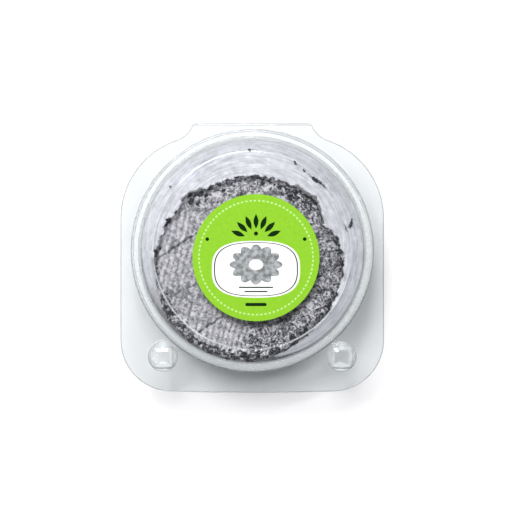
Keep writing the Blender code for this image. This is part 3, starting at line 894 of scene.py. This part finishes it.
def haze_band(bm, haze, middle, profile, steps, whites, squared=False):
    """A closed thin skin turned about an upright axis, hazy in its middle and clear at its edges."""
    loop = []
    for lift, order in ((HAZE_LIFT, 1), (HAZE_LIFT + HAZE_THICKNESS, -1)):
        face = []
        for number, (radius, height) in enumerate(offset_profile(profile, lift)):
            squareness = squared * smooth_step(STUD_ROUND_HEIGHT, STUD_SQUARE_HEIGHT, height - SHEET)
            face.append(turned_ring(bm, middle, radius, LID_FLANGE_BOTTOM + height, steps, squareness))
            fade = min(number, len(profile) - 1 - number, HAZE_FADE_ROWS) / HAZE_FADE_ROWS
            for step, vert in enumerate(face[-1]):
                vert[haze] = fade * along(whites, turn_of(math.tau * step / steps))
        loop += face[::order]
    join_rings(bm, loop + loop[:1])


bm = bmesh.new()
haze_layer = bm.verts.layers.float.new("haze")
lid_profile = SEAT_PROFILE + [Vector(corner) for corner in LID_CORNERS]
lid_over = finely(offset_profile(softened(lid_profile, LID_BENDS), SHEET), 0.1 * MM)
seat_band = [point for point in lid_over if point.x > SEAT_INNER_RADIUS - HAZE_SEAT][::2]
haze_band(bm, haze_layer, (0.0, 0.0), seat_band, TURN_STEPS, SEAT_HAZE_AND_REFLECTION)
edge_band = [point for point in lid_over if abs(point.x - LID_TOP_RADIUS) < HAZE_EDGE]
haze_band(bm, haze_layer, (0.0, 0.0), edge_band, TURN_STEPS, EDGE_HAZE_AND_HIGHLIGHT)
stud_over = finely(offset_profile(softened(STUD_PROFILE, STUD_BENDS), SHEET), 0.3 * MM)
stud_band = [point for point in stud_over if HAZE_STUD_TOP < point.x < HAZE_STUD_REACH]
for side in (-1, 1):
    haze_band(bm, haze_layer, (side * STUD_X, STUD_Y), stud_band, STUD_STEPS, STUD_HAZE_AND_REFLECTION, squared=True)
haze_and_sheen_skin, skin, skin_shader = new_material("haze_and_sheen_skin")
skin_shade = ramp(noise_of(object_place(skin), 700.0), 0.3, 0.7, 0.23, 0.28)
feed(skin_shader, {
    "Base Color": (0.80, 0.84, 0.86), "Roughness": 0.5, "Alpha": skin_shade * attribute(skin, "haze"),
})
lid_haze = finished("lid_haze_and_sheen", bm, haze_and_sheen_skin, 60.0)
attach(lid_haze, "cover")

# Cut edge
# The punch cut the sheet out round its flange, and beside the hinge it is creased and folded. The
# thin grey line drawn round the flange is painted shade: it stands in for the dark line that the
# edge and the fold show where they bend the light.
CUT_INSET = 0.04 * MM
CUT_WIDTH = 0.34 * MM
EDGE_LINE_SHADE = (0.30, 0.318, 0.318)
CUT_COVER = 0.5

bm = bmesh.new()
cut_rings = []
for across, up in ((0, 0), (1, 0), (1, 1), (0, 1)):
    height = LID_FLANGE_BOTTOM + SHEET + HAZE_LIFT + up * HAZE_THICKNESS
    cut_rings.append(flange_ring(bm, CUT_INSET + across * CUT_WIDTH, height))
join_rings(bm, cut_rings + cut_rings[:1])
# its grey is painted shade for the dark line along the sheet's edge
cut_skin, _, cut_shader = new_material("cut_edge")
feed(cut_shader, {"Base Color": EDGE_LINE_SHADE, "Roughness": 0.6, "Alpha": CUT_COVER})
cut_line = finished("cut_edge", bm, cut_skin, 60.0)
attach(cut_line, "cover")

# Smears
# Thin dried films of curd and ash, rubbed off on the inside of the lid round the cheese while
# the pack was carried upright. Where the film lies and how pale it is round the pack is partly
# painted light and shade: it lightens shaded gaps beside the cheese and greys the slope at the back.
SMEAR_STEPS = 300
SMEAR_ROWS = 22
SMEAR_LAP = 2.4 * MM
SMEAR_THICKNESS = 0.05 * MM
SMEAR_DROP = 1.3 * MM
FILM_START = (-0.8 * MM, 2.2 * MM)
FILM_FADE = 0.7 * MM
SLOPE_START = LID_TOP_RADIUS - 0.6 * MM
SLOPE_END = LID_TOP_RADIUS + 1.4 * MM
# the cheese's widest line looks smaller by this factor through the lid, which is nearer to the eye
SEEN_SHARE = 0.972
# direction in degrees and how much of the film there is; more of it in front and to the right,
# partly as painted light over the shaded gap there
SMEAR_AND_LIGHT_COVER = (
    (-180, 0.6), (-160, 0.3), (-148, 0.0), (-88, 0.0), (-70, 0.7), (-50, 1.0), (-20, 0.95), (20, 0.85), (45, 0.85),
    (90, 0.95), (150, 0.85), (172, 0.65), (180, 0.6),
)
# direction in degrees and how far from the pack's middle the film reaches, in millimetres
SMEAR_REACH = ((-180, 48.0), (-84, 47.4), (-45, 48.6), (20, 48.6), (90, 48.0), (180, 48.0))
# direction in degrees and how far past the cheese's outline the film starts, in millimetres
FILM_CLEAR = (
    (-180, 0.1), (-172, -0.5), (-160, -0.4), (36, 0.2), (42, 1.9), (54, 1.9), (66, 0.3), (86, 0.1), (98, -0.2),
    (118, -0.2), (126, 0.9), (133, 0.9), (138, -1.0), (145, -0.8), (149, 0.6), (153, 0.6), (157, -1.0), (166, -0.8),
    (170, 0.7), (174, 0.7), (180, 0.1),
)
# direction in degrees and how pale the film is on the lid's sloping wall and on its flat; paler at
# the front and the left, darker at the back, as painted light and shade
SLOPE_LIGHT_AND_SHADE = ((-180, 1.12), (-90, 1.2), (-50, 1.25), (10, 1.1), (50, 0.74), (110, 0.74), (140, 0.98), (180, 1.12))
FLAT_LIGHT_AND_SHADE = ((-180, 1.05), (-40, 1.0), (20, 0.9), (60, 0.93), (90, 1.0), (180, 1.05))


def lid_inside(x, y):
    """Height of the lid's inner face over a point, on its flat or on its sloping wall."""
    slope = (lid_inner_rise - SEAT_HEIGHT) / (SEAT_INNER_RADIUS - LID_TOP_RADIUS)
    return LID_FLANGE_BOTTOM + lid_inner_rise - max(math.hypot(x, y) - LID_TOP_RADIUS, 0.0) * slope


bm = bmesh.new()
cover_layer, pale_layer, start_layer = (bm.verts.layers.float.new(name) for name in ("cover", "pale", "start"))
smear_loops = []
middle = Vector((CHEESE_X, CHEESE_Y))
for step in range(SMEAR_STEPS):
    turn = 360 * step / SMEAR_STEPS - 180
    angle = math.radians(turn)
    ray = Vector((math.cos(angle), math.sin(angle)))
    toward = middle.dot(ray)
    reach = along(SMEAR_REACH, turn) * MM
    outer = -toward + math.sqrt(toward ** 2 - middle.length_squared + reach ** 2)
    seen_edge = edge_radius(angle) * SEEN_SHARE + along(FILM_CLEAR, turn) * MM
    inner = seen_edge - SMEAR_LAP
    loop = []
    for drop, order in ((SMEAR_DROP, 1), (SMEAR_DROP + SMEAR_THICKNESS, -1)):
        row = []
        for place in range(SMEAR_ROWS + 1):
            point = middle + ray * (inner + (outer - inner) * place / SMEAR_ROWS)
            vert = bm.verts.new((*point, lid_inside(*point) - drop))
            vert[start_layer] = smooth_step(*FILM_START, (point - middle).length - seen_edge)
            vert[cover_layer] = along(SMEAR_AND_LIGHT_COVER, turn) * smooth_step(0.0, FILM_FADE, reach - point.length)
            slope = smooth_step(SLOPE_START, SLOPE_END, point.length)
            vert[pale_layer] = along(FLAT_LIGHT_AND_SHADE, turn) * (1 - slope) + along(SLOPE_LIGHT_AND_SHADE, turn) * slope
            row.append(vert)
        loop += row[::order]
    smear_loops.append(loop)
join_rings(bm, smear_loops + smear_loops[:1])

smear_film, film, film_shader = new_material("smear_film")
film_x, film_y, _ = axes_of(object_place(film))
film_radius = (film_x * film_x + film_y * film_y).math("SQRT")
film_turn = film_y.math("ARCTAN2", film_x)


def around_place(ray_scale, turn_scale):
    """A place whose textures are drawn out into streaks round the pack's middle."""
    return add(film, "ShaderNodeCombineXYZ", {0: film_radius * (ray_scale / MM), 1: film_turn * turn_scale})


streaks = ramp(noise_of(around_place(0.8, 3.6), 1.0, 3.0, 0.5, 0.6), 0.34, 0.66)
scratches = ramp(noise_of(around_place(2.0, 8.0), 1.0, 1.0, 0.6), 0.64, 0.74)
dabs = ramp(noise_of(object_place(film), 330.0, 3.0, 0.3, 0.6), 0.35, 0.65)
film_cover = (0.56 + streaks * 0.28 + dabs * 0.08) * attribute(film, "cover")
film_start = ramp(attribute(film, "start") + dabs * 0.5, 0.5, 0.8)
film_tone = (0.72 + dabs * 0.14 + streaks * 0.16 - scratches * 0.34) * attribute(film, "pale")
feed(film_shader, {
    "Base Color": colour_ramp(film_tone, ((0.0, (0.10, 0.10, 0.12)), (1.0, (0.82, 0.82, 0.88)))),
    "Roughness": 0.6, "Alpha": film_cover * film_start,
})
smears = finished("lid_smears", bm, smear_film, 35.0)
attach(smears, "cover")

# Loose crumbs
# Crumbs of ash that fell off the rim and stuck to the inside of the lid. The larger ones lie in
# short rows at the back and the right, the small ones all over the back.
CRUMB_HANG = 1.15
# how many small crumbs, their directions in degrees, and in millimetres how far past the cheese
# they lie and their radii
CRUMB_COUNT = 46
CRUMB_TURNS = (14, 166)
CRUMB_REACH = (0.0, 5.0)
CRUMB_RADII = (0.08, 0.19)
# start and end of each row of crumbs, how many, and their size, in millimetres
CRUMB_ROWS = (
    ((-1.6, 43.7), (-0.5, 43.1), 5, 0.5), ((17.9, 38.6), (19.4, 36.8), 5, 0.46), ((21.9, 34.8), (22.8, 34.2), 3, 0.45),
    ((26.2, 31.3), (28.0, 30.1), 6, 0.95), ((27.8, 30.4), (29.7, 28.8), 6, 0.7), ((30.2, 28.7), (31.9, 26.9), 7, 0.32),
    ((24.0, 33.2), (25.4, 31.9), 4, 0.28), ((42.8, 12.2), (42.1, 9.9), 7, 0.9), ((43.1, 13.2), (42.6, 11.6), 4, 0.5),
    ((39.8, 11.3), (40.9, 8.4), 12, 0.25), ((-35.8, 28.0), (-34.7, 27.0), 4, 0.38),
    ((-31.4, 26.6), (-30.1, 27.6), 4, 0.25),
)
ROW_STRAY = 0.25
crumb_spots = []
for start, end, count, size in CRUMB_ROWS:
    for step in range(count):
        spot = Vector(start).lerp(Vector(end), (step + 0.5) / count)
        spot += Vector([draw.uniform(-ROW_STRAY, ROW_STRAY) for _ in range(2)])
        crumb_spots.append((*(spot * MM), size * draw.uniform(0.6, 1.1) * MM))
for _ in range(CRUMB_COUNT):
    angle = math.radians(draw.uniform(*CRUMB_TURNS))
    radius = draw.uniform(*CRUMB_RADII) * MM
    reach = edge_radius(angle) + draw.uniform(*CRUMB_REACH) * MM
    x, y = CHEESE_X + reach * math.cos(angle), CHEESE_Y + reach * math.sin(angle)
    if math.hypot(x, y) < LID_TOP_RADIUS:
        crumb_spots.append((x, y, radius))
crumbs = bits_on(
    [((x, y, lid_inside(x, y) - CRUMB_HANG * radius), radius) for x, y, radius in crumb_spots],
    black_ash, "lid_crumbs",
)
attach(crumbs, "cover")

# Living hinge
# The tub and the lid are one sheet. Between them it is creased thin and folded over on itself; the
# real sheet bends there each time the lid opens, while this piece is the fold in its closed shape.
FOLD_STEPS = 10
FOLD_SLICES = 40
FOLD_LAP = 0.02 * MM

bm = bmesh.new()
fold_rings = []
for slice_number in range(FOLD_SLICES + 1):
    x = HINGE_HALF_LENGTH * (2 * slice_number / FOLD_SLICES - 1)
    loop = []
    for radius, turns in ((GAP / 2 + SHEET, range(FOLD_STEPS + 1)), (GAP / 2, range(FOLD_STEPS, -1, -1))):
        for step in turns:
            turn = math.pi * (step / FOLD_STEPS - 0.5)
            y = HINGE_Y - GAP / 2 + radius * math.cos(turn) - FOLD_LAP
            loop.append(bm.verts.new((x, y, FLANGE_PLANE + radius * math.sin(turn))))
    fold_rings.append(loop)
join_rings(bm, fold_rings)
bm.faces.new(fold_rings[0])
bm.faces.new(fold_rings[-1])
hinge_web = finished("hinge_fold", bm, clear_sheet, 50.0)
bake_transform(hinge_web)

# Label
# A round of coated paper, printed in lime green and white and stuck on the flat of the lid. The
# print is plain: a dotted ring, a white panel with a grey rosette, and a fan of dark leaves.
LABEL_X = 1.65 * MM
LABEL_Y = -3.2 * MM
LABEL_RADIUS = 27.4 * MM
LABEL_THICKNESS = 0.2 * MM
LABEL_EDGE = 0.05 * MM
LABEL_STEPS = 256
LABEL_BOTTOM = LID_FLANGE_BOTTOM + LID_RISE + 0.01 * MM
DARK_INK = (0.003, 0.020, 0.002)
DOT_INK = (0.55, 0.80, 0.36)
WHITE_INK = (0.90, 0.90, 0.90)
ROSETTE_MIDDLE = (0.72, 0.73, 0.74)
BACK_PAPER = (0.66, 0.72, 0.58)
# the print's places and sizes are in millimetres from the label's middle
RING_RADIUS = 24.6
RING_HALF_WIDTH = 0.34
RING_DOTS = 84.0
PANEL_Y = -5.0
PANEL_HALF_WIDTH = 19.0
PANEL_HALF_HEIGHT = 12.2
PANEL_BEND = 2.8
ROSETTE_Y = -3.0
ROSETTE_STRETCH = (0.70, 0.92)
ROSETTE_RADIUS = 6.4
ROSETTE_HOLE = 2.2
PETALS = 12
PETAL_RISE = 1.6
FAN_Y = 7.4
LEAF_FOOT = 5.0
LEAF_LENGTH = 6.6
LEAF_HALF_WIDTH = 1.15
LEAF_SPREAD = 0.40
LEAVES_EACH_SIDE = 3
# as shares of the panel's size: where its thin line lies, half the line's width, the edges' softness
PANEL_LINE = 0.94
PANEL_LINE_HALF = 0.014
PANEL_SOFT = 0.008
# middle, half length and half height of each dark bar or dot
BARS = (
    ((0.0, -12.8), 7.4, 0.3), ((0.0, -14.6), 5.0, 0.3), ((0.0, 10.4), 0.9, 0.9), ((0.0, -20.2), 4.6, 0.7),
    ((-21.0, 8.0), 0.8, 0.8), ((21.0, 8.0), 0.8, 0.8),
)

bm = bmesh.new()
label_rings = [
    turned_ring(bm, (LABEL_X, LABEL_Y), LABEL_RADIUS - inset, LABEL_BOTTOM + height, LABEL_STEPS)
    for inset, height in (
        (LABEL_EDGE, 0.0), (0.0, LABEL_EDGE), (0.0, LABEL_THICKNESS - LABEL_EDGE), (LABEL_EDGE, LABEL_THICKNESS))
]
join_rings(bm, label_rings)
bm.faces.new(label_rings[0])
bm.faces.new(label_rings[-1])


def from_point(x, y, centre, stretch=(1.0, 1.0)):
    """Distance from a point of the label, and how far right and up of it, each way stretched."""
    right, up = (x - centre[0]) * stretch[0], (y - centre[1]) * stretch[1]
    return (right * right + up * up).math("SQRT"), right, up


def inside(distance, edge, soft=0.08):
    return ramp(distance, edge + soft, edge - soft)


def bar(x, y, centre, half_length, half_height):
    """A short printed bar with round ends."""
    past = (abs(x - centre[0]) - (half_length - half_height)).math("MAXIMUM", 0.0)
    up = y - centre[1]
    return inside((past * past + up * up).math("SQRT"), half_height)


def mixed(share, first, second):
    """Mix two colours, each an output or a plain colour."""
    return add(share.tree, "ShaderNodeMix", {0: share, 6: first, 7: second}, 2, data_type="RGBA")


label_paper, paper, label_shader = new_material("green_paper")
print_x, print_y, paper_height = axes_of(
    millimetres_from(object_place(paper), (LABEL_X, LABEL_Y, LABEL_BOTTOM)))
fibre = noise_of(object_place(paper), 900.0)
middle_distance, _, _ = from_point(print_x, print_y, (0.0, 0.0))
dotted = ramp((print_y.math("ARCTAN2", print_x) * RING_DOTS).math("SINE"), -0.5, 0.4)
dotted *= inside(abs(middle_distance - RING_RADIUS), RING_HALF_WIDTH)
panel = abs(print_x) / PANEL_HALF_WIDTH, abs(print_y - PANEL_Y) / PANEL_HALF_HEIGHT
panel = (panel[0] ** PANEL_BEND + panel[1] ** PANEL_BEND) ** (1 / PANEL_BEND)
rosette, rosette_x, rosette_y = from_point(print_x, print_y, (0.0, ROSETTE_Y), ROSETTE_STRETCH)
petals = abs((rosette_y.math("ARCTAN2", rosette_x) * (PETALS / 2)).math("COSINE")) * PETAL_RISE + ROSETTE_RADIUS
rosette_shade = noise_of(object_place(paper), 520.0, 3.0)
rosette_colour = colour_ramp(rosette_shade, ((0.35, (0.16, 0.17, 0.17)), (0.65, (0.40, 0.42, 0.43))))
leaf_distance, leaf_x, leaf_y = from_point(print_x, print_y, (0.0, FAN_Y))
leaf_turn = leaf_x.math("ARCTAN2", leaf_y)
leaf_number = (leaf_turn / LEAF_SPREAD).math("ROUND")
leaf_side = abs(leaf_turn - leaf_number * LEAF_SPREAD) * leaf_distance
leaf_share = (leaf_distance - LEAF_FOOT).math("DIVIDE", LEAF_LENGTH, clamp=True)
leaf_width = (leaf_share * math.pi).math("SINE") * LEAF_HALF_WIDTH
leaves = inside(leaf_side, leaf_width - 0.08) * inside(abs(leaf_number), LEAVES_EACH_SIDE + 0.5, 0.1)
print_colour = colour_ramp(fibre, ((0.3, (0.225, 0.495, 0.024)), (0.7, (0.252, 0.535, 0.030))))
for mask, ink in (
    (dotted * 0.75, DOT_INK), (inside(panel, 1.0, PANEL_SOFT), WHITE_INK),
    (inside(abs(panel - PANEL_LINE), PANEL_LINE_HALF, PANEL_SOFT), DARK_INK), (inside(rosette, petals), rosette_colour),
    (inside(rosette, ROSETTE_HOLE), ROSETTE_MIDDLE), (leaves, DARK_INK),
    *((bar(print_x, print_y, *place), DARK_INK) for place in BARS),
):
    print_colour = mixed(mask, print_colour, ink)
printed_side = ramp(paper_height, 0.2 * LABEL_THICKNESS / MM, 0.4 * LABEL_THICKNESS / MM)
feed(label_shader, {
    "Base Color": mixed(printed_side, BACK_PAPER, print_colour), "Roughness": 0.6, "Specular IOR Level": 0.04,
    "Normal": bump_of(fibre, 0.02 * MM),
})
label = finished("paper_label", bm, label_paper, 35.0)
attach(label, "cover")
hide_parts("label")

# Studio
# A white table top, one large soft light behind and a little to the left, a pale room all round,
# and a white card in front that puts the small bright bands on the studs.
FLOOR_HALF = 1.6
floor_mesh = bpy.data.meshes.new("table_top")
floor_mesh.from_pydata(
    [(-FLOOR_HALF, -FLOOR_HALF, 0), (FLOOR_HALF, -FLOOR_HALF, 0),
     (FLOOR_HALF, FLOOR_HALF, 0), (-FLOOR_HALF, FLOOR_HALF, 0)], [], [(0, 1, 2, 3)])
white_table, _, table_shader = new_material("white_table")
feed(table_shader, {"Base Color": (0.9, 0.895, 0.9), "Roughness": 0.9})
table_top = finished("table_top", floor_mesh, white_table)


def soft_light(name, place, width, height, power):
    light = bpy.data.lights.new(name, "AREA")
    light.shape = "RECTANGLE"
    light.size = width
    light.size_y = height
    light.energy = power
    lamp = in_scene(name, light)
    lamp.location = place
    lamp.rotation_euler = Vector(place).to_track_quat("Z", "Y").to_euler()


soft_light("back_light", (-0.18, 0.52, 1.1), 0.48, 0.34, 17.4)
soft_light("front_card", (0.0, -0.8, 0.82), 0.26, 0.15, 0.8)

room_light = bpy.data.worlds.new("room_light")
room_light.use_nodes = True
sky = room_light.node_tree
sky_x, sky_y, sky_z = axes_of(add(sky, "ShaderNodeTexCoord", out="Generated"))
behind_sky = colour_ramp(sky_z, (
    (0.0, (0.95, 0.96, 0.99)),
    (0.16, (0.66, 0.67, 0.70)),
    (0.4, (0.48, 0.485, 0.50)),
    (0.8, (0.42, 0.425, 0.44)),
    (0.95, (0.20, 0.203, 0.212)),
))
front_sky = colour_ramp(sky_z, (
    (0.0, (0.92, 0.93, 0.96)),
    (0.12, (0.62, 0.63, 0.65)),
    (0.3, (0.22, 0.224, 0.231)),
    (0.95, (0.20, 0.203, 0.212)),
))
behind = ramp(sky_y - sky_x * 0.35, -0.45, 0.55)
feed(sky.nodes["Background"], {"Color": mixed(behind, front_sky, behind_sky)})
bpy.context.scene.world = room_light

bpy.context.scene.view_settings.view_transform = "Standard"
bpy.context.scene.cycles.use_denoising = True
